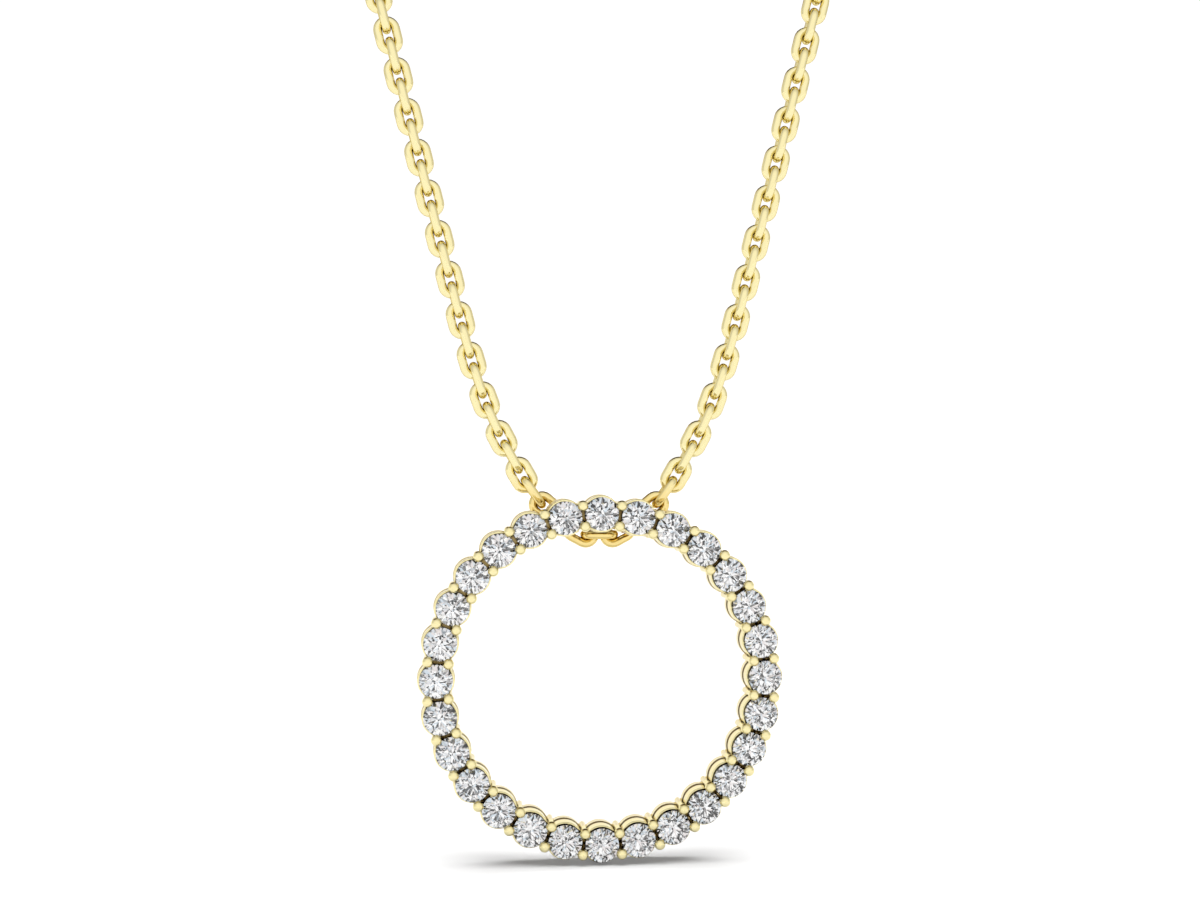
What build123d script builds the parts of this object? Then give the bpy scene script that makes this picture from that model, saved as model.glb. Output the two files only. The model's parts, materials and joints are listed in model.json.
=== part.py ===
from build123d import *
import os
from math import asin, cos, degrees, pi, radians, sin, tan

# An open circle pendant of round brilliants on a fine cable chain, worn as a whole loop.
# All sizes are in millimetres and angles in degrees.
# Origin: the nape, at the side of the clasp that lies on the neck.
# X is to the right as seen from the front, Y runs from the front to the nape, and Z is up.

# Round brilliants, as shares of the girdle diameter where a cutter states them so
stone_count = 28
stone_diameter = 1.70
stone_spacing = 0.174
main_facets = 8
table_share = 0.57
girdle_share = 0.03
star_share = 0.50
lower_half_share = 0.77
crown_angle = 34.5
pavilion_angle = 40.8
crown_edge_angle = 42.0
stone_turn = 47.0

# Cups, each a round tube that carries one stone on the front edge of its bore, with a rail behind a groove
cup_overhang = 0.095
cup_bore = 1.24
cup_depth = 1.80
rail_overhang = 0.13
rail_depth = 0.53
groove_width = 0.20
groove_depth = 0.12
rim_round = 0.05
stone_clearance = 0.02
slot_width = 0.15
slot_depth = 0.70

# Shared prongs, two between each pair of cups, with a rounded tip that holds the stones
prong_diameter = 0.34
prong_length = 1.92
prong_offset = 0.525
prong_splay = 0.06
tip_diameter = 0.56
tip_middle = 0.12

# Cable chain
link_wire = 0.395
link_inner_length = 1.1925
link_inner_width = 0.60
link_pairs_in_front = 22
chain_setback = 3.10

# Loops behind the setting that the chain passes through
loop_wire = 0.26
loop_clearance = 0.16
loop_leg_front = 1.42

# The worn loop, and the clasp that closes it at the nape
neck_depth = 105.0
pendant_drop = 129.5
tube_gap = 0.20
clasp_diameter = 5.50
clasp_wire = 1.10
eye_inner_diameter = 1.30
eye_wire = 0.50
eye_sink = 0.12

# The chain's route on the right side, from the middle of the front to the clasp:
# across, back from the front plane, and up from the centre of the circle
chain_route = [
    (0.0, 0.0, 7.12),
    (0.75, 0.0, 7.12),
    (1.9, 0.0, 8.05),
    (3.1, 0.0, 8.75),
    (4.3, 0.0, 10.9),
    (6.2, 0.0, 14.3),
    (8.4, 0.0, 22.6),
    (12.6, 0.0, 39.6),
    (19.6, 0.0, 66.0),
    (31.6, 7.0, 87.9),
    (45.0, 24.0, 103.4),
    (51.6, 50.0, 114.5),
    (45.9, 77.0, 122.8),
    (29.5, 97.0, 128.0),
    (10.0, 104.5, 129.5),
]
first_tube_run = 7
arc_share = 0.45
walk_rounds = 6

# Sizes worked out from the ones above
stone_radius = stone_diameter / 2
girdle_half = girdle_share * stone_diameter / 2
table_radius = table_share * stone_radius
table_height = girdle_half + (stone_radius - table_radius) * tan(radians(crown_angle))
culet_depth = girdle_half + stone_radius * tan(radians(pavilion_angle))
circle_radius = (stone_diameter + stone_spacing) / 2 / sin(pi / stone_count)
cup_radius = stone_radius + cup_overhang
rail_radius = stone_radius + rail_overhang
bore_radius = cup_bore / 2
pavilion_at_bore = girdle_half + (stone_radius - bore_radius) * tan(radians(pavilion_angle))
rim_setback = pavilion_at_bore + stone_clearance
half_step = 180 / stone_count
link_bend_radius = (link_inner_width + link_wire) / 2
link_half_straight = (link_inner_length - link_inner_width) / 2
link_tip = link_half_straight + link_bend_radius
link_half_width = link_inner_width / 2 + link_wire
loop_radius = link_half_width + loop_clearance + loop_wire / 2

front_plane = Plane(origin=(0, -neck_depth, -pendant_drop), x_dir=(1, 0, 0), z_dir=(0, -1, 0))
ring_plane = front_plane.offset(chain_setback)


def on_circle(radius, angle, height=0.0):
    """A point of a stone or of the ring: radius and height from the axis, angle clockwise from the top."""
    return Vector(radius * sin(radians(angle)), radius * cos(radians(angle)), height)


def plane_through(a, b, c):
    """The plane through three points of the stone, facing away from the stone's middle."""
    normal = (b - a).cross(c - a).normalized()
    if normal.dot(a) < 0:
        normal = normal * -1
    return Plane(origin=a, z_dir=normal)


def facet_planes():
    """The planes of all 57 facets of a round brilliant whose girdle lies in XY and whose table faces +Z."""
    eighth = 360 / main_facets
    star_foot = table_radius * cos(radians(eighth / 2))
    star_radius = star_foot + star_share * (stone_radius - star_foot)
    star_drop = (stone_radius - star_radius * cos(radians(eighth / 2))) * tan(radians(crown_angle))
    half_radius = stone_radius * (1 - lower_half_share)
    half_drop = (stone_radius - half_radius * cos(radians(eighth / 2))) * tan(radians(pavilion_angle))
    planes = [Plane.XY.offset(table_height)]
    for k in range(main_facets):
        main = k * eighth
        side = main + eighth / 2
        table_corner = on_circle(table_radius, main, table_height)
        next_corner = on_circle(table_radius, main + eighth, table_height)
        star_tip = on_circle(star_radius, side, girdle_half + star_drop)
        last_star_tip = on_circle(star_radius, side - eighth, girdle_half + star_drop)
        half_tip = on_circle(half_radius, side, -girdle_half - half_drop)
        last_half_tip = on_circle(half_radius, side - eighth, -girdle_half - half_drop)
        planes.append(plane_through(table_corner, last_star_tip, star_tip))
        planes.append(plane_through(table_corner, next_corner, star_tip))
        planes.append(plane_through(on_circle(0, 0, -culet_depth), last_half_tip, half_tip))
        for end in (main, main + eighth):
            upper = on_circle(stone_radius, end, girdle_half), on_circle(stone_radius, side, girdle_half)
            lower = on_circle(stone_radius, end, -girdle_half), on_circle(stone_radius, side, -girdle_half)
            planes.append(plane_through(star_tip, *upper))
            planes.append(plane_through(half_tip, *lower))
    return planes


# One brilliant, cut facet by facet from a round blank
with BuildPart() as brilliant:
    Cylinder(stone_radius, 2 * (culet_depth + table_height))
    for facet in facet_planes():
        split(bisect_by=facet, keep=Keep.BOTTOM)

# The room that one stone needs in the metal, as its outline grown by the clearance
crown_run = stone_radius - table_radius
crown_rise = crown_run * tan(radians(crown_edge_angle))
with BuildPart() as seat:
    with BuildSketch(Plane.XZ):
        with BuildLine():
            Polyline(
                (0, culet_depth),
                (table_radius, girdle_half + stone_clearance + crown_rise),
                (stone_radius + stone_clearance, girdle_half + stone_clearance),
                (stone_radius + stone_clearance, -girdle_half - stone_clearance),
                (bore_radius, -rim_setback),
                (0, -rim_setback),
                close=True,
            )
        make_face()
    revolve(axis=Axis.Z)

# One cup at the top of the circle: a tube with a rounded rim, a groove round it, and a wider rail behind
cup_centre = on_circle(circle_radius, 0)
cup_section = Plane(origin=cup_centre, x_dir=(1, 0, 0), z_dir=(0, -1, 0))
rail_front = cup_depth - rail_depth
wall_back = rail_front - groove_width
groove_radius = cup_radius - groove_depth
with BuildPart() as cup:
    with BuildSketch(cup_section):
        with BuildLine():
            Polyline(
                (bore_radius, -rim_setback),
                (cup_radius, -rim_setback),
                (cup_radius, -wall_back),
                (groove_radius, -wall_back),
                (groove_radius, -rail_front),
                (rail_radius, -rail_front),
                (rail_radius, -cup_depth),
                (bore_radius, -cup_depth),
                close=True,
            )
        make_face()
    revolve(axis=Axis(cup_centre, (0, 0, 1)))
    rim_edges = cup.edges().filter_by(GeomType.CIRCLE).group_by(Axis.Z)[-1]
    fillet(rim_edges.sort_by(SortBy.RADIUS)[-1], rim_round)


def prong_line(side):
    """The plane at the tip of the outer (+1) or inner (-1) prong, whose +Z runs back along the prong."""
    tip = on_circle(circle_radius * cos(radians(half_step)) + side * prong_offset, half_step)
    away = on_circle(side * prong_splay, half_step)
    foot = tip + away + Vector(0, 0, -prong_length)
    return Plane(origin=tip, z_dir=(foot - tip).normalized())


# One share of the setting: a cup with half of the slot to each neighbour and the two prongs beside it,
# notched for the stones on both sides
next_centre = on_circle(circle_radius, 2 * half_step)
slot_length = 2 * prong_offset
slot_middle = rim_setback + slot_depth / 2
with BuildPart() as share:
    add(cup.part)
    for side in (1, -1):
        middle = on_circle(circle_radius * cos(radians(half_step)), side * half_step, -slot_middle)
        across_slot = (cos(radians(half_step)), -side * sin(radians(half_step)), 0)
        with BuildSketch(Plane(origin=middle, x_dir=across_slot)):
            Rectangle(slot_width, slot_length)
        extrude(amount=slot_depth / 2, both=True, mode=Mode.SUBTRACT)
    for side in (1, -1):
        with BuildSketch(prong_line(side)):
            Circle(prong_diameter / 2)
        extrude(amount=prong_length)
        with Locations(prong_line(side).origin + Vector(0, 0, tip_middle)):
            Sphere(tip_diameter / 2)
    with Locations(cup_centre, next_centre):
        add(seat.part, mode=Mode.SUBTRACT)

# One link, lying in XY with its length along X
with BuildPart() as link:
    with BuildLine():
        Line((-link_half_straight, link_bend_radius), (link_half_straight, link_bend_radius))
        CenterArc((link_half_straight, 0), link_bend_radius, 90, arc_size=-180)
        Line((link_half_straight, -link_bend_radius), (-link_half_straight, -link_bend_radius))
        CenterArc((-link_half_straight, 0), link_bend_radius, 270, arc_size=-180)
    with BuildSketch(Plane(origin=(0, link_bend_radius, 0), x_dir=(0, 1, 0), z_dir=(1, 0, 0))):
        Circle(link_wire / 2)
    sweep()


def front_point(across, back, up):
    """A point of the route in the part's own frame."""
    return Vector(across, back - neck_depth, up - pendant_drop)


# The front stretch of the route as one smooth curve, which touches each of its runs at the middle
with BuildLine() as front_route:
    start = front_point(*chain_route[0])
    for i in range(1, first_tube_run + 1):
        corner = front_point(*chain_route[i])
        end = (corner + front_point(*chain_route[i + 1])) / 2
        Bezier(start, corner, end)
        start = end


def step_along(route, length, reach):
    """The length along the route at which it is reach away, in a straight line, from its point at length."""
    here = route.position_at(length, position_mode=PositionMode.LENGTH)
    found = length + reach
    for _ in range(walk_rounds):
        there = route.position_at(found, position_mode=PositionMode.LENGTH)
        found += reach - (there - here).length
    return found


# Walk along the route: the links turn about the middle of each bend of a face-on link.
# Link 0 lies level across the middle, odd links show their face, and even ones their edge.
route_wire = front_route.wire()
pivot_length = link_tip
for _ in range(walk_rounds):
    pivot = route_wire.position_at(pivot_length, position_mode=PositionMode.LENGTH)
    pivot_length += link_tip - pivot.X
pivots = [pivot]
for i in range(2 * link_pairs_in_front):
    reach = 2 * link_half_straight if i % 2 == 0 else 2 * link_tip
    pivot_length = step_along(route_wire, pivot_length, reach)
    pivots.append(route_wire.position_at(pivot_length, position_mode=PositionMode.LENGTH))
backward = Vector(0, 1, 0)
link_planes = [Plane(origin=(0, pivots[0].Y, pivots[0].Z), x_dir=(1, 0, 0), z_dir=(0, 0, 1))]
for i in range(len(pivots) - 1):
    along = (pivots[i + 1] - pivots[i]).normalized()
    facing = backward * -1 if i % 2 == 0 else along.cross(backward)
    middle = (pivots[i] + pivots[i + 1]) / 2
    link_planes.append(Plane(origin=middle, x_dir=along, z_dir=facing))
    left_middle = Vector(-middle.X, middle.Y, middle.Z)
    left_along = Vector(-along.X, along.Y, along.Z)
    left_facing = backward * -1 if i % 2 == 0 else left_along.cross(backward)
    link_planes.append(Plane(origin=left_middle, x_dir=left_along, z_dir=left_facing))

# The photographed stretch of chain, as loose interlocking links
with BuildPart() as chain_front:
    with Locations(*link_planes):
        add(link.part)

# The loops: each is a bow round the second link from the middle, square to it, on two legs to its cup
held_link = link_planes[3]
loop_centre = ring_plane.to_local_coords(held_link.origin)
loop_along = Vector(held_link.x_dir.X, held_link.x_dir.Z, 0)
loop_across = Vector(-loop_along.Y, loop_along.X, 0)
leg_length = -loop_leg_front - loop_centre.Z
with BuildPart() as loop:
    for side in (1, -1):
        with BuildSketch(Plane(origin=loop_centre + loop_across * side * loop_radius, z_dir=(0, 0, 1))):
            Circle(loop_wire / 2)
        extrude(amount=leg_length)
    with BuildSketch(Plane(origin=loop_centre + loop_across * loop_radius, z_dir=(0, 0, 1))):
        Circle(loop_wire / 2)
    revolve(axis=Axis(loop_centre, loop_along * -1), revolution_arc=180)

# The whole setting, soldered into one solid
with BuildPart(ring_plane) as setting:
    with PolarLocations(0, stone_count):
        add(share.part)
    add(loop.part)
    add(loop.part.mirror(Plane.YZ))

# The stones, clockwise from the top, each turned its own way in its cup
stones = []
for i in range(stone_count):
    centre = ring_plane.from_local_coords(on_circle(circle_radius, i * 2 * half_step))
    turn = i * stone_turn
    seat_plane = Plane(origin=centre, x_dir=(cos(radians(turn)), 0, sin(radians(turn))), z_dir=(0, -1, 0))
    with BuildPart(seat_plane) as stone:
        add(brilliant.part)
    stone.part.label = f"stone_{i + 1:02d}"
    stones.append(stone.part)

# The clasp: a round ring with an eye on its right side, flat against the nape
ring_radius = (clasp_diameter - clasp_wire) / 2
eye_radius = (eye_inner_diameter + eye_wire) / 2
eye_centre = clasp_diameter / 2 + eye_radius - eye_sink
clasp_plane = Plane(origin=(0, clasp_wire / 2, 0), x_dir=(1, 0, 0), z_dir=(0, -1, 0))
with BuildPart(clasp_plane) as clasp:
    Torus(ring_radius, clasp_wire / 2)
    with Locations((eye_centre, 0, 0)):
        Torus(eye_radius, eye_wire / 2)

# The hidden stretch on each side, as a tube of the links' outer width along straight runs and arcs
last_link = link_planes[-2]
last_end = last_link.origin + last_link.x_dir * (link_tip + link_wire / 2)
tube_start = last_end + last_link.x_dir * tube_gap


def tube_points(clasp_reach):
    """The route's points from the last front link to the clasp, which reaches clasp_reach to this side."""
    points = [tube_start]
    points += [front_point(*p) for p in chain_route[first_tube_run + 1:]]
    points.append(Vector(clasp_reach + tube_gap, clasp_wire / 2, 0))
    return points


def tube_radii(points):
    """The largest arc that each corner's two runs allow."""
    radii = []
    for before, corner, after in zip(points, points[1:], points[2:]):
        turn = (corner - before).get_angle(after - corner)
        shorter = min((corner - before).length, (after - corner).length)
        radii.append(arc_share * shorter / tan(radians(turn / 2)))
    return radii


def chain_tube(points):
    """A tube along the points, as a part."""
    with BuildPart() as tube:
        with BuildLine() as tube_route:
            FilletPolyline(*points, radius=tube_radii(points))
        with BuildSketch(Plane(origin=tube_route.line @ 0, z_dir=tube_route.line % 0)):
            Circle(link_half_width)
        sweep()
    return tube.part, tube_route.wire().length


right_points = tube_points(eye_centre + eye_radius + eye_wire / 2)
left_points = [Vector(-p.X, p.Y, p.Z) for p in tube_points(clasp_diameter / 2)]
chain_right, right_length = chain_tube(right_points)
chain_left, left_length = chain_tube(left_points)

chain_front.part.label = "chain_front"
chain_right.label = "chain_right"
chain_left.label = "chain_left"
setting.part.label = "setting"
clasp.part.label = "clasp"

os.makedirs("parts", exist_ok=True)
for piece in [setting.part, chain_front.part, chain_left, chain_right, clasp.part, *stones]:
    export_step(piece, f"parts/{piece.label}.step")

tube_section = pi * link_half_width**2
front_length = 2 * pivot_length
whole_length = front_length + left_length + right_length
slope = degrees(asin(loop_along.Y))
print("circle radius", round(circle_radius, 3), "rim setback", round(rim_setback, 3))
print("held link", [round(v, 3) for v in loop_centre], "slope", round(slope, 2))
print("tube radii", [round(r, 1) for r in tube_radii(right_points)])
print("tube runs", [round((b - a).length, 1) for a, b in zip(right_points, right_points[1:])])
for tube, length in ((chain_right, right_length), (chain_left, left_length)):
    volume_share = tube.volume / tube_section / length
    print(tube.label, "length", round(length, 2), "volume share", round(volume_share, 5))
print("front chain", round(front_length, 2), "whole chain", round(whole_length, 1))
print("links in front", len(link_planes), "link volume", round(link.part.volume, 4))
print("setting volume", round(setting.part.volume, 2), "stone volume", round(brilliant.part.volume, 4))
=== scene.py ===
# %% [markdown]
# # An open circle of stones on a fine cable chain
# The model that is packed for this scene holds every piece at its real size: the gold setting, 28 cut
# stones, the clasp, and the chain. Here the pieces get their finish, and the chain gets its real links.
# Everything is in metres in the model's own frame: X to the right, Y from the front to the nape of the
# neck, and Z up. Small sizes are written in millimetres and multiplied by mm.

# %% Load the frame
import json
from math import atan2, cos, pi, radians, sin

import bpy
from mathutils import Matrix, Vector

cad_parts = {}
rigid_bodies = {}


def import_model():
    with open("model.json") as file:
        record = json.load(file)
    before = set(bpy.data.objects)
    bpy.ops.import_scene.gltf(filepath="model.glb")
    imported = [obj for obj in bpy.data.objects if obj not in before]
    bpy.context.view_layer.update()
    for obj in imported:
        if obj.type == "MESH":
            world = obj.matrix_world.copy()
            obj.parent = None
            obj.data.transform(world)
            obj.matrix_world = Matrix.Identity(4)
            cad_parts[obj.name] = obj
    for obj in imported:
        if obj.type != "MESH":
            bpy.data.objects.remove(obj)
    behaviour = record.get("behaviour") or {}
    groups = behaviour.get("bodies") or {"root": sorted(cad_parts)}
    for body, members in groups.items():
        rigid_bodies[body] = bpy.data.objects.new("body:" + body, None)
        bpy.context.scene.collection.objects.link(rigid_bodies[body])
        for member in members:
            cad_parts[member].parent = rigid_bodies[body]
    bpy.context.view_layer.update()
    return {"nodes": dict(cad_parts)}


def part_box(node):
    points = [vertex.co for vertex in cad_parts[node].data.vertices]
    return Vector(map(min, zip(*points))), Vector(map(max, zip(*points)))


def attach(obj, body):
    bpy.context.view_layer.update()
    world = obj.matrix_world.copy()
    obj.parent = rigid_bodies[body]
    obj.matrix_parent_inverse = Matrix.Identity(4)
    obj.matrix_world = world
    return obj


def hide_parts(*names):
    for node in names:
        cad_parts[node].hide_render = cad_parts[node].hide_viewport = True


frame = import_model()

mm = 0.001

# %% [markdown]
# ## Camera
# A jewel is photographed from close by, so perspective shows: the cups on the right turn their inner
# walls to the lens. The camera could be placed by eye, but it is surer to place it from the ring itself:
# so far in front of it, so far to its left and above its middle, and aimed a little above the ring,
# because the chain fills the upper half of the picture. It comes first, since all that follows is judged
# through it.

# %% Where the ring and the chain are
setting_low, setting_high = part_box("setting")
chain_low, chain_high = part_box("chain_front")
chain_y = (chain_low.y + chain_high.y) / 2
chain_setback = 3.10 * mm
ring_centre = Vector((0, chain_y - chain_setback, (setting_low.z + setting_high.z) / 2))
print("ring centre, mm:", [round(v / mm, 2) for v in ring_centre])

# %% Place the camera
camera_from_ring = Vector((-8.3, -84.0, 10.6)) * mm
aim_from_ring = Vector((-0.115, 0, 11.61)) * mm
camera_data = bpy.data.cameras.new("camera")
camera_data.lens = 50
camera_data.sensor_width = 36
camera_data.clip_start = 1 * mm
camera = bpy.data.objects.new("camera", camera_data)
bpy.context.scene.collection.objects.link(camera)
bpy.context.scene.camera = camera
camera.location = ring_centre + camera_from_ring
sight = aim_from_ring - camera_from_ring
camera.rotation_euler = sight.to_track_quat("-Z", "Y").to_euler()
print("camera is", round(sight.length / mm, 1), "mm from what it aims at")

# %% [markdown]
# ## Writing a finish
# A finish is a small graph of nodes. Drawn by hand in the editor it is quick to try and hard to read, so
# here its sums are written as plain Python: a Sum wraps one socket, and adding or multiplying two of them
# makes the Math node that does it. Every other node comes from one method, node, which takes the node's
# type, its settings and what goes into its sockets.


# %% Shader sums
class Sum:
    """One number in a node graph, on which sums can be written."""

    def __init__(self, graph, socket):
        self.graph = graph
        self.socket = socket

    def maths(self, operation, first, second=0.0):
        made = self.graph.node("ShaderNodeMath", {"operation": operation}, {0: first, 1: second})
        return Sum(self.graph, made.outputs[0])

    def __add__(self, other):
        return self.maths("ADD", self, other)

    def __radd__(self, other):
        return self.maths("ADD", other, self)

    def __sub__(self, other):
        return self.maths("SUBTRACT", self, other)

    def __rsub__(self, other):
        return self.maths("SUBTRACT", other, self)

    def __mul__(self, other):
        return self.maths("MULTIPLY", self, other)

    def __rmul__(self, other):
        return self.maths("MULTIPLY", other, self)

    def __abs__(self):
        return self.maths("ABSOLUTE", self)

    def between(self, low, high):
        """0 below low, 1 above high, and a smooth rise between them."""
        settings = {"interpolation_type": "SMOOTHSTEP"}
        made = self.graph.node("ShaderNodeMapRange", settings, {0: self, 1: low, 2: high})
        return Sum(self.graph, made.outputs[0])


def blend(share, first, second):
    """first where share is 0 and second where it is 1, for numbers and Sums alike."""
    return first + (second - first) * share


# %% The nodes that finishes are made of
class Graph:
    """The nodes of one material, or of the world."""

    def __init__(self, owner):
        owner.use_nodes = True
        self.tree = owner.node_tree
        self.tree.nodes.clear()

    def feed(self, socket, value):
        """Sets a socket to a number or a colour, or links another node's socket to it."""
        source = getattr(value, "socket", value)
        if isinstance(source, bpy.types.NodeSocket):
            self.tree.links.new(source, socket)
        else:
            socket.default_value = source

    def node(self, kind, settings=None, inputs=None):
        """Makes a node: first its settings, then a value or a link for each socket named."""
        made = self.tree.nodes.new(kind)
        for name, value in (settings or {}).items():
            setattr(made, name, value)
        for name, value in (inputs or {}).items():
            self.feed(made.inputs[name], value)
        return made

    def noise(self, size, detail=2.0, vector=None):
        """Soft noise from 0 to 1, in lumps about size across, over the surface or over a given vector."""
        if vector is None:
            vector = self.node("ShaderNodeTexCoord").outputs["Object"]
        inputs = {"Vector": vector, "Scale": 1 / size, "Detail": detail}
        return Sum(self, self.node("ShaderNodeTexNoise", None, inputs).outputs["Fac"])

    def place(self, axis):
        """How far a point of the surface lies along one axis of the model, in metres."""
        point = self.node("ShaderNodeTexCoord").outputs["Object"]
        return Sum(self, self.node("ShaderNodeSeparateXYZ", None, {0: point}).outputs[axis])

    def openness(self, reach):
        """How much of the sky over a point is free of metal within reach, from 0 to 1."""
        rays = 16
        nearby = self.node("ShaderNodeAmbientOcclusion", {"samples": rays}, {"Distance": reach})
        return Sum(self, nearby.outputs["AO"])

    def ray(self, answer):
        """What is known of the ray that looks, such as Is Glossy Ray, which is 1 for such a ray."""
        return Sum(self, self.node("ShaderNodeLightPath").outputs[answer])

    def mix_colour(self, share, first, second):
        """A colour between first and second. Sockets 6 and 7 and output 2 are the node's colour ones."""
        made = self.node("ShaderNodeMix", {"data_type": "RGBA"}, {0: share, 6: first, 7: second})
        return made.outputs[2]


# %% Giving a piece its material
def new_material(name, shader_inputs):
    """A material with one Principled shader, and its graph. shader_inputs are constants on its sockets."""
    material = bpy.data.materials.new(name)
    graph = Graph(material)
    shader = graph.node("ShaderNodeBsdfPrincipled", None, shader_inputs)
    graph.node("ShaderNodeOutputMaterial", None, {"Surface": shader.outputs[0]})
    return material, graph, shader


def finish_piece(name, material):
    """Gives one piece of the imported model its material, and returns the piece."""
    piece = frame["nodes"][name]
    piece.data.materials.clear()
    piece.data.materials.append(material)
    return piece


print("pieces that wait for a finish:", len(frame["nodes"]))

# %% [markdown]
# ## Yellow gold
# Fourteen carat gold, polished on a felt wheel. Metal has no colour of its own apart from its tinted
# reflection, so a metallic shader with a pale yellow base gives the colour, and a second tint tells what
# it turns to where it is seen at a slant. What makes it real is the polish: the wheel leaves tiny ripples,
# and patches that are a little less bright. Both could be painted images, but noise needs no unwrapping
# and fits every piece. It feeds a Bump node and the roughness. The cast setting and the drawn wire of the
# chain catch the wheel differently, so each gets its own gold from one recipe.

# %% Polish
ripple_size = 0.50 * mm
ripple_height = 0.0012 * mm
patch_size = 4 * ripple_size
smooth = 0.05
dull = 0.11


def polished_gold(name, edge):
    """Gold with the wheel's ripples. edge is its tint where it is seen at a slant."""
    material, graph, shader = new_material(name, {"Metallic": 1.0, "Specular Tint": edge})
    ripples = graph.noise(ripple_size, detail=0.5)
    bump_inputs = {"Height": ripples, "Distance": ripple_height, "Strength": 1.0}
    bump = graph.node("ShaderNodeBump", None, bump_inputs)
    graph.feed(shader.inputs["Normal"], bump.outputs[0])
    roughness = blend(graph.noise(patch_size), smooth, dull)
    return material, graph, shader, roughness


print("polish ripples are", round(ripple_size / mm, 2), "mm across, roughness", smooth, "to", dull)

# %% [markdown]
# ## Gold of the setting
# Where two cups meet, gold mirrors gold over and over and turns a deep brown. Light bounces alone show
# some of it, but in a tent that is white all round the joints stay too pale. The rest is painted shade:
# the Ambient Occlusion node measures how much metal stands round a point, and the base colour is painted
# brown where it is crowded. The rails and posts behind the stones are out of the wheel's reach. They are
# satin, a little paler and rougher, and the painted shade in the groove in front of each rail is only a
# thin olive line. How far back a point lies tells the two apart.

# %% Colours and places on the setting
polished_yellow = (0.88, 0.785, 0.435, 1)
satin_beige = (0.84, 0.74, 0.49, 1)
# Painted shade: the dark brown painted where cups crowd together, in place of shade between them
painted_joint_shade = (0.045, 0.018, 0.003, 1)
# Painted shade: the olive painted into the groove in front of each rail
painted_groove_shade = (0.50, 0.38, 0.15, 1)
cast_edge = (0.95, 0.92, 0.80, 1)
joint_reach = 0.40 * mm
joint_closed = 0.32
joint_open = 0.62
groove_closed = 0.12
groove_open = 0.30
rail_front = ring_centre.y + 0.9 * mm
rail_fade = 0.1 * mm
rail_dullness = 0.10
print("satin begins", round((rail_front - setting_low.y) / mm, 2), "mm behind the prong tips' front")

# %% The setting's material
setting_gold, graph, shader, roughness = polished_gold("setting_gold", cast_edge)
behind = graph.place("Y").between(rail_front, rail_front + rail_fade)
closed = blend(behind, joint_closed, groove_closed)
open_sky = blend(behind, joint_open, groove_open)
openness = graph.openness(joint_reach).between(closed, open_sky)
surface = graph.mix_colour(behind, polished_yellow, satin_beige)
# The painted shade for crowded spots: brown in front, olive behind
painted_shade = graph.mix_colour(behind, painted_joint_shade, painted_groove_shade)
graph.feed(shader.inputs["Base Color"], graph.mix_colour(openness, painted_shade, surface))
graph.feed(shader.inputs["Roughness"], roughness + rail_dullness * behind)
finish_piece("setting", setting_gold)
print("setting_gold has", len(graph.tree.nodes), "nodes")

# %% [markdown]
# ## Gold of the chain
# The links are drawn wire. Their joints get a painted shade of brown too, lighter than the setting's,
# because more light gets in, and the wire's edges turn to old gold where they are seen at a slant. Behind
# the ring's top the links mirror the ring instead of the white tent, and that deeper colour is a painted
# reflection in their base colour. Height over the ring tells where.
# The clasp belongs to the chain and shares its gold.

# %% Colours and places on the chain
# Painted reflection: the deeper gold the links get from mirroring the ring behind its top
painted_ring_reflection = (0.84, 0.66, 0.27, 1)
# Painted shade: the brown painted where links crowd each other
painted_link_shade = (0.28, 0.17, 0.035, 1)
wire_edge = (0.55, 0.43, 0.15, 1)
link_reach = 0.45 * mm
link_closed = 0.02
link_open = 0.34
behind_ring_low = ring_centre.z + 8.6 * mm
behind_ring_top = ring_centre.z + 10.6 * mm
print("links mirror the ring up to", round((behind_ring_top - ring_centre.z) / mm, 1), "mm over its middle")

# %% The chain's material
chain_gold, graph, shader, roughness = polished_gold("chain_gold", wire_edge)
above = graph.place("Z").between(behind_ring_low, behind_ring_top)
# The painted reflection of the ring, chosen by height
surface = graph.mix_colour(above, painted_ring_reflection, polished_yellow)
openness = graph.openness(link_reach).between(link_closed, link_open)
# Painted shade where the links crowd each other
graph.feed(shader.inputs["Base Color"], graph.mix_colour(openness, painted_link_shade, surface))
graph.feed(shader.inputs["Roughness"], roughness)
finish_piece("clasp", chain_gold)
print("chain_gold has", len(graph.tree.nodes), "nodes")

# %% [markdown]
# ## The stones
# Each stone is cut with all 57 facets of a round brilliant, so its sparkle needs no paint or image: a
# clear shader with diamond's refractive index bends the light, and the flat facets send it back. Smooth
# shading would melt the facets together, so it is switched off. A real stone also mirrors the tent on its
# face. In a tent as bright as this that would veil the sparkle, so the specular tint holds it back.

# %% Diamond
clear_inputs = {
    "Base Color": (1, 1, 1, 1),
    "Roughness": 0.0,
    "IOR": 2.42,
    "Transmission Weight": 1.0,
    "Specular Tint": (0.45, 0.45, 0.45, 1),
}
diamond, _, _ = new_material("diamond", clear_inputs)
stone_names = sorted(name for name in frame["nodes"] if name.startswith("stone_"))
for name in stone_names:
    stone = finish_piece(name, diamond)
    for facet in stone.data.polygons:
        facet.use_smooth = False
print(len(stone_names), "stones")

# %% [markdown]
# ## The chain's line
# A cable chain hangs along a smooth line. A formula for a hanging chain would fit each strand alone, but
# not the corner at the ring or the way round the neck. So the line follows a few listed points, and a
# NURBS curve rounds them off. They are the imported model's points, with those in front moved by up
# to 0.12 mm to follow the photograph more closely. The left strand is the right one mirrored. The front
# of the chain hangs a hair to the right, as the photograph shows it, and the shift fades to nothing at
# the nape. The curve is only a guide: it is turned into a row of close points and then taken away again.

# %% The links' wire
link_wire = 0.455 * mm
link_inner_length = 1.1025 * mm
link_inner_width = 0.480 * mm
bend_radius = (link_inner_width + link_wire) / 2
half_straight = (link_inner_length - link_inner_width) / 2
link_tip = half_straight + bend_radius
link_length = link_inner_length + 2 * link_wire
link_width = link_inner_width + 2 * link_wire
print("a link is", round(link_length / mm, 2), "by", round(link_width / mm, 2), "mm")

# %% The route of one strand
chain_shift = 0.145 * mm

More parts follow.
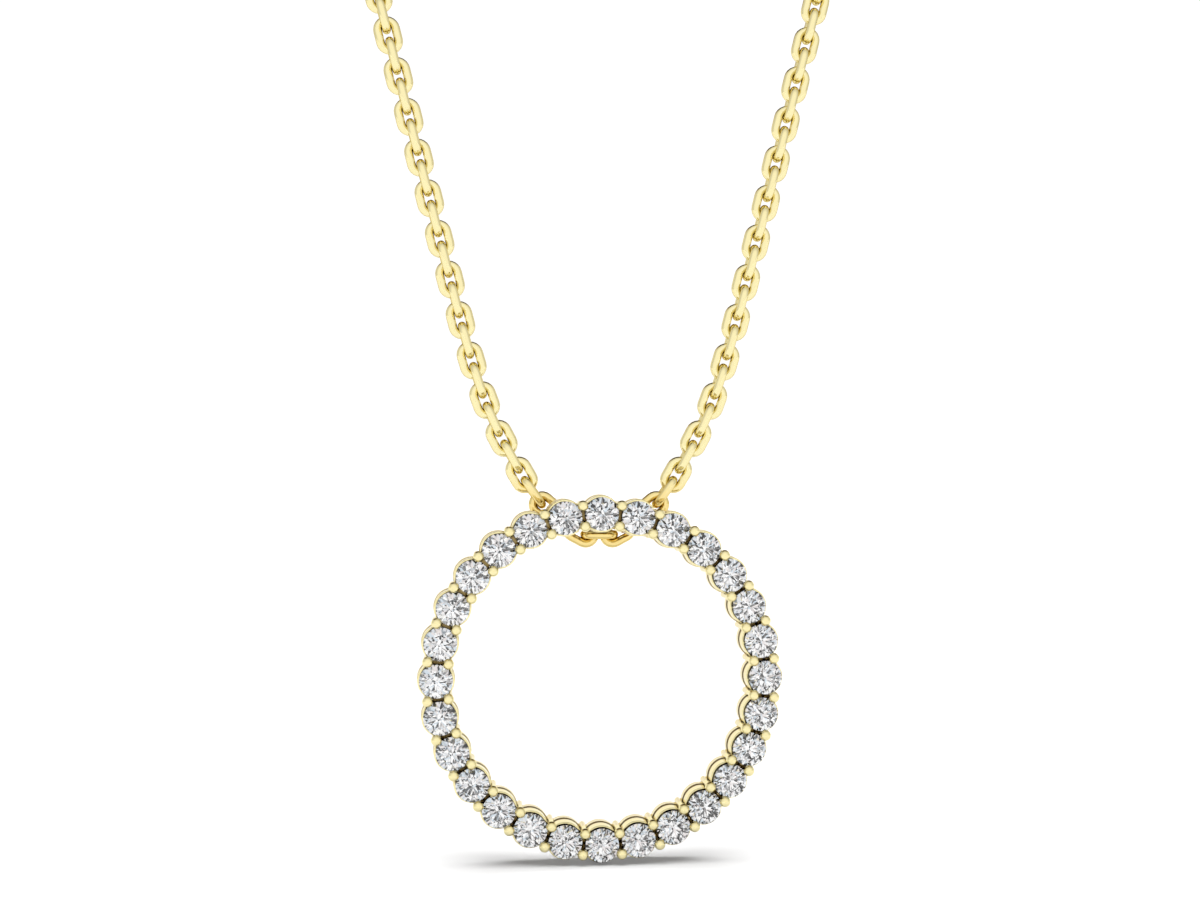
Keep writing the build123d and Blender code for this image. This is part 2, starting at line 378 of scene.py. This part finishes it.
# Across, back from the front plane, and up from the middle of the ring, on the right side, in millimetres
chain_route = [
    (0.0, 0.0, 7.10),
    (0.75, 0.0, 7.10),
    (1.9, 0.0, 8.03),
    (3.1, 0.0, 8.73),
    (4.36, 0.0, 10.8),
    (6.2, 0.0, 14.3),
    (8.35, 0.0, 22.6),
    (12.65, 0.0, 39.6),
    (19.6, 0.0, 66.0),
    (31.6, 7.0, 87.9),
    (45.0, 24.0, 103.4),
    (51.6, 50.0, 114.5),
    (45.9, 77.0, 122.8),
    (29.5, 97.0, 128.0),
    (10.0, 104.5, 129.5),
]
print("the route has", len(chain_route), "points and then the clasp")


# %% From the route to a smooth line
def route_corners(side, end):
    """The route's points in the model's frame, on one side, and last the chain's end at the clasp."""
    nape_back = chain_route[-1][1]
    corners = []
    for x, y, z in chain_route:
        aside = chain_shift * (1 - y / nape_back)
        corners.append(Vector((side * x * mm + aside, chain_y + y * mm, ring_centre.z + z * mm)))
    corners.append(end)
    return corners


def chain_line(side, end):
    """Points close together on the chain's line, from the middle of the front to just past its end."""
    corners = route_corners(side, end)
    curve = bpy.data.curves.new("chain_line", "CURVE")
    curve.dimensions = "3D"
    curve.resolution_u = 64
    spline = curve.splines.new("NURBS")
    spline.points.add(len(corners) - 1)
    for point, corner in zip(spline.points, corners):
        point.co = (*corner, 1)
    spline.use_endpoint_u = True
    spline.order_u = 3
    holder = bpy.data.objects.new("chain_line", curve)
    mesh = bpy.data.meshes.new_from_object(holder)
    points = [v.co.copy() for v in mesh.vertices]
    bpy.data.objects.remove(holder)
    bpy.data.meshes.remove(mesh)
    bpy.data.curves.remove(curve)
    past_end = 3 * mm
    points.append(end + (end - points[-2]).normalized() * past_end)
    print("one strand's line has", len(points), "points")
    return points


# %% [markdown]
# ## Where the chain ends
# At the nape a plain round clasp closes the chain. The last link on the right hooks through the clasp's
# eye, and the last one on the left through a jump ring that hangs in the clasp's own ring. Both ends
# could be set by eye, but then the wires would cut into each other at the first change. They are worked
# out from the clasp's box and the wires instead.

# %% The two ends
clasp_low, clasp_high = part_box("clasp")
clasp_y = (clasp_low.y + clasp_high.y) / 2
eye_hook_reach = 0.31 * mm
jump_ring_reach = 0.255 * mm
jump_ring_wire = 0.45 * mm
jump_ring_radius = 1.10 * mm
hook_play = 0.03 * mm
jump_ring_x = clasp_low.x + jump_ring_reach
left_hook_x = jump_ring_x - jump_ring_radius + (jump_ring_wire + link_wire) / 2 + hook_play
right_end = Vector((clasp_high.x - eye_hook_reach, clasp_y, 0))
left_end = Vector((left_hook_x, clasp_y, 0))
right_line = chain_line(1, right_end)
left_line = chain_line(-1, left_end)
print("the strands end", round(right_end.x / mm, 2), "and", round(left_end.x / mm, 2), "mm from the middle")

# %% [markdown]
# ## Walking the chain
# A cable chain is a row of round wire links, each turned a quarter against the last. It could be an array
# along the curve, but an array spaces its copies by arc length, so in a bend the links would cut into
# each other. Instead the chain is walked like the real one: two links touch where the end of one hooks
# through the bend of the other, and that point is a pivot. A link that shows its face spans the two
# middles of its bends, and one that shows its edge spans its two ends. The walk steps those two lengths
# in turn along the line, so every pair keeps the same hair of play. The hidden links then give or take a
# hair each, until the last pivot meets the clasp.

# %% One step along the line
front_links = 44
middle_slack = 0.07 * mm


def step(points, start, index, reach):
    """The point of the line that lies reach away from start, and the index of the next point after it."""
    before = start
    while (points[index] - start).length < reach:
        before = points[index]
        index += 1
        if index == len(points):
            return None, index
    near = (before - start).length
    far = (points[index] - start).length
    return before.lerp(points[index], (reach - near) / (far - near)), index


print("links in front on each side:", front_links)


# %% One strand
def walk(points, hidden_scale, link_count=None):
    """The pivots of all links on one side. The hidden links are longer by hidden_scale."""
    first_reach = link_tip - middle_slack
    index = next(i for i, p in enumerate(points) if abs(p.x - chain_shift) >= first_reach)
    before, after = points[index - 1], points[index]
    share = (first_reach - abs(before.x - chain_shift)) / abs(after.x - before.x)
    pivots = [before.lerp(after, share)]
    while link_count is None or len(pivots) <= link_count:
        shows_face = len(pivots) % 2 == 1
        reach = 2 * half_straight if shows_face else 2 * link_tip
        if len(pivots) > front_links:
            reach *= hidden_scale
        pivot, index = step(points, pivots[-1], index, reach)
        if pivot is None:
            break
        pivots.append(pivot)
    return pivots


# %% Fit a strand to its end
def fitted_walk(points, last_shows_face):
    """The pivots from the middle of the front to the clasp, with the last one at the end of the line."""
    count = len(walk(points[:-1], 1.0)) - 1
    if (count % 2 == 1) != last_shows_face:
        count -= 1
    hidden = count - front_links
    onward = (points[-1] - points[-2]).normalized()
    scale = 1.0
    rounds = 6
    for _ in range(rounds):
        pivots = walk(points, scale, count)
        short = (points[-2] - pivots[-1]).dot(onward)
        scale += short / hidden / (half_straight + link_tip)
    print(count, "links, the hidden ones stretched by", round(scale - 1, 5))
    print("left over at the clasp:", round(short / mm, 3), "mm")
    return pivots


right_pivots = fitted_walk(right_line, True)
left_pivots = fitted_walk(left_line, False)

# %% [markdown]
# ## From pivots to links
# Each link is a round wire bent to a closed loop with two straight sides. A curve with a bevel would do,
# but rings of corners that are written out keep the count of faces in hand, so the hidden links can be
# coarser than those in front. On top of its quarter turn, each hidden link takes up a little of the twist
# between the front and the clasp. All links of one stretch are joined into one mesh, because four hundred
# objects would be slow to handle.


# %% One link
def wire_link(straight, bend, wire, bend_steps, wire_sides):
    """The corners and faces of one closed wire link that lies in XY with its length along X."""
    corners = []
    bend_rings = bend_steps + 1 if straight > 0 else bend_steps
    for end in (1, -1):
        for i in range(bend_rings):
            angle = pi * (i / bend_steps - end / 2)
            out = Vector((cos(angle), sin(angle), 0))
            middle = Vector((end * straight, 0, 0)) + out * bend
            for j in range(wire_sides):
                turn = 2 * pi * j / wire_sides
                corners.append(middle + (out * cos(turn) + Vector((0, 0, sin(turn)))) * wire / 2)
    rings = len(corners) // wire_sides
    faces = []
    for i in range(rings):
        here = i * wire_sides
        there = (i + 1) % rings * wire_sides
        for j in range(wire_sides):
            k = (j + 1) % wire_sides
            faces.append((here + j, there + j, there + k, here + k))
    return corners, faces


fine_link = wire_link(half_straight, bend_radius, link_wire, bend_steps=12, wire_sides=16)
plain_link = wire_link(half_straight, bend_radius, link_wire, bend_steps=8, wire_sides=10)
round_ring = wire_link(0, jump_ring_radius, jump_ring_wire, bend_steps=12, wire_sides=12)
print("faces of a link in front and behind:", len(fine_link[1]), len(plain_link[1]))


# %% Where each link lies
def link_places(pivots):
    """A matrix for each link. Its X runs along the link, and its Z is the side that the link faces."""
    alongs = [(b - a).normalized() for a, b in zip(pivots, pivots[1:])]
    backs = []
    back = Vector((0, 1, 0))
    for along in alongs:
        back = (back - along * back.dot(along)).normalized()
        backs.append(back)
    up = Vector((0, 0, 1)) - alongs[-1] * alongs[-1].z
    twist = atan2(backs[-1].cross(up).dot(alongs[-1]), backs[-1].dot(up))
    twist = (twist + pi / 2) % pi - pi / 2
    hidden = len(alongs) - front_links
    places = []
    for i, (along, back) in enumerate(zip(alongs, backs)):
        roll = twist * max(0, i + 1 - front_links) / hidden
        back = Matrix.Rotation(roll, 3, along) @ back
        facing = -back if i % 2 == 0 else along.cross(back)
        place = Matrix((along, facing.cross(along), facing)).transposed().to_4x4()
        place.translation = (pivots[i] + pivots[i + 1]) / 2
        places.append(place)
    print(len(places), "links, the hidden ones twisted by", round(twist, 3), "radians in all")
    return places


# %% Lay the links
right_places = link_places(right_pivots)
left_places = link_places(left_pivots)

# The last link on the right is bent wider, because the wire of the clasp's eye is thicker than its own
eye_link_widening = 1.14
right_places[-1] = right_places[-1] @ Matrix.Diagonal((1, eye_link_widening, 1, 1))
middle_place = Matrix.Translation((chain_shift, right_pivots[0].y, right_pivots[0].z))
front_places = [middle_place] + right_places[:front_links] + left_places[:front_links]
ring_place = Matrix.Translation((jump_ring_x, clasp_y, 0))
print(len(front_places), "links in front, with the middle one")


# %% Many links in one mesh
def join_copies(name, pattern, places, body, material):
    """One mesh object that holds a copy of the pattern at each place."""
    corners, faces = pattern
    all_corners = []
    all_faces = []
    for place in places:
        first = len(all_corners)
        all_corners += [place @ corner for corner in corners]
        all_faces += [tuple(first + k for k in face) for face in faces]
    mesh = bpy.data.meshes.new(name)
    mesh.from_pydata(all_corners, [], all_faces)
    mesh.shade_smooth()
    mesh.materials.append(material)
    made = bpy.data.objects.new(name, mesh)
    bpy.context.scene.collection.objects.link(made)
    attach(made, body)
    print(name, len(places), "copies", len(all_faces), "faces")
    return made


# %% The links
links_front = join_copies("links_front", fine_link, front_places, "chain", chain_gold)
links_right = join_copies("links_right", plain_link, right_places[front_links:], "chain", chain_gold)
links_left = join_copies("links_left", plain_link, left_places[front_links:], "chain", chain_gold)
jump_ring = join_copies("jump_ring", round_ring, [ring_place], "chain", chain_gold)
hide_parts("chain_front")
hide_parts("chain_right")
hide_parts("chain_left")
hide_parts("chain_left")

# %% [markdown]
# ## White paper
# The circle hangs just clear of a sheet of white paper, which catches a thin shadow. A white plane is all
# that the camera needs. But the gold mirrors the paper too, and a stone that finds white on every side
# looks like plain glass. So the paper's colour depends on the kind of ray that looks at it: white for the
# camera, greyer in the gold, and in dark and light patches for rays that come through a stone. The
# patches are noise over the direction from the ring, so they look about the same size from every stone.

# %% The sheet
floor_gap = 0.02 * mm
floor_half = 3.0
floor_z = setting_low.z - floor_gap
floor_mesh = bpy.data.meshes.new("floor")
corners = [(x * floor_half, y * floor_half, floor_z) for x, y in ((-1, -1), (1, -1), (1, 1), (-1, 1))]
floor_mesh.from_pydata(corners, [], [(0, 1, 2, 3)])
floor = bpy.data.objects.new("floor", floor_mesh)
bpy.context.scene.collection.objects.link(floor)
print("the paper lies at", round(floor_z / mm, 2), "mm")


# %% The paper's colour
def grey(value):
    """A colour with the same red, green and blue."""
    return (value, value, value, 1)


paper_white = 0.9
paper_in_gold = 0.74
paper_dark_patch = 0.01
paper_light_patch = 0.68
patch_width = 1 / 7
patch_rise = (0.42, 0.50)

paper, graph, shader = new_material("white_paper", {"Roughness": 0.6})
spot = graph.node("ShaderNodeTexCoord").outputs["Object"]
from_ring = graph.node("ShaderNodeVectorMath", {"operation": "SUBTRACT"}, {0: spot, 1: ring_centre})
way = graph.node("ShaderNodeVectorMath", {"operation": "NORMALIZE"}, {0: from_ring.outputs[0]})
patches = graph.noise(patch_width, vector=way.outputs[0]).between(*patch_rise)
in_stones = graph.mix_colour(patches, grey(paper_dark_patch), grey(paper_light_patch))
elsewhere = graph.mix_colour(graph.ray("Is Glossy Ray"), grey(paper_white), grey(paper_in_gold))
colour = graph.mix_colour(graph.ray("Is Transmission Ray"), elsewhere, in_stones)
graph.feed(shader.inputs["Base Color"], colour)
floor_mesh.materials.append(paper)
print("white_paper has", len(graph.tree.nodes), "nodes")

# %% [markdown]
# ## Light
# Jewels are photographed in a white tent with one large soft lamp overhead, and with a dark card behind
# and above them that gives the metal something to mirror. The lamp is a sun with a very wide disc,
# because it alone has to cast the paper's shadow. It is hidden from reflections and from rays through the
# stones, which find only the tent. The tent could be built of panels, but only the direction of a ray
# counts, so it is a World shader: sums of how far up, to the back or to the side a ray goes. Rays through
# the stones find it in dark and light patches, as they find the paper.

# %% The lamp overhead
lamp_strength = 4.9
lamp_width = radians(73)
lamp_lean = (radians(4), radians(2), 0)
overhead_data = bpy.data.lights.new("overhead", "SUN")
overhead_data.energy = lamp_strength
overhead_data.angle = lamp_width
overhead = bpy.data.objects.new("overhead", overhead_data)
overhead.rotation_euler = lamp_lean
overhead.visible_glossy = False
overhead.visible_transmission = False
bpy.context.scene.collection.objects.link(overhead)
print("the lamp's strength is", lamp_strength)

# %% What a ray's direction tells
world = bpy.data.worlds.new("light_tent")
bpy.context.scene.world = world
tent = Graph(world)
direction = tent.node("ShaderNodeTexCoord").outputs["Generated"]
parts = tent.node("ShaderNodeSeparateXYZ", None, {0: direction})
aside = abs(Sum(tent, parts.outputs["X"]))
toward_back = Sum(tent, parts.outputs["Y"])
toward_front = toward_back * -1
upward = Sum(tent, parts.outputs["Z"])
print("the tent is a World shader named", world.name)

# %% The tent as the gold mirrors it
tent_white = 0.72
front_glow = 0.40
front_rise = (-0.1, 0.85)
back_glow = 0.40
back_rise = (0.1, 0.9)
card_depth = 0.94
card_foot = (0.30, 0.44)
card_front = (0.05, 0.35)
card_sides = (0.35, 0.75)
glow = front_glow * toward_front.between(*front_rise) + back_glow * toward_back.between(*back_rise)
across = 1 - aside.between(*card_sides)
card = upward.between(*card_foot) * toward_back.between(*card_front) * across
in_gold = tent_white + glow - card_depth * card
print("the tent in the gold is from", tent_white, "to", tent_white + front_glow, "bright, beside its card")

# %% The tent as the stones, the paper and the camera find it
tent_dark_patch = 0.02
tent_light_patch = 0.88
tent_on_paper = 0.01
tent_seen = 1.05
patches = tent.noise(patch_width, vector=direction).between(*patch_rise)
in_stones = blend(patches, tent_dark_patch, tent_light_patch)
through_stone = tent.ray("Is Transmission Ray")
off_paper = tent.ray("Diffuse Depth").between(0, 1)
seen = tent.ray("Is Camera Ray")
strength = blend(through_stone, in_gold, in_stones)
strength = blend(off_paper, strength, tent_on_paper * tent.ray("Is Diffuse Ray"))
strength = blend(seen, strength, tent_seen)
print("the camera finds the tent", tent_seen, "bright, and the paper finds it", tent_on_paper)

# %% The tent's colours
white = (1, 1, 1, 1)
cool_fire = (0.80, 0.91, 1.0, 1)
rosy_fire = (1.0, 0.94, 0.93, 1)
card_amber = (1.0, 0.64, 0.20, 1)
fire_width = 1 / 3.1
fire_rise = (0.42, 0.58)
tints = tent.noise(fire_width, detail=1.0, vector=direction).between(*fire_rise)
fire = tent.mix_colour(tints, cool_fire, rosy_fire)
amber = tent.mix_colour(card, white, card_amber)
amber_unseen = tent.mix_colour(seen, amber, white)
colour = tent.mix_colour(through_stone, amber_unseen, fire)
background = tent.node("ShaderNodeBackground", None, {"Color": colour, "Strength": strength})
tent.node("ShaderNodeOutputWorld", None, {"Surface": background.outputs[0]})
bpy.context.scene.view_settings.view_transform = "Standard"
print("the tent has", len(tent.tree.nodes), "nodes")

# %% Keep gold out of the paper's shadow
for piece in bpy.context.scene.objects:
    if piece.type == "MESH" and piece != floor:
        piece.visible_diffuse = False
hidden_pieces = [piece for piece in bpy.context.scene.objects if not piece.visible_diffuse]
print(len(hidden_pieces), "pieces are hidden from the paper's diffuse rays")
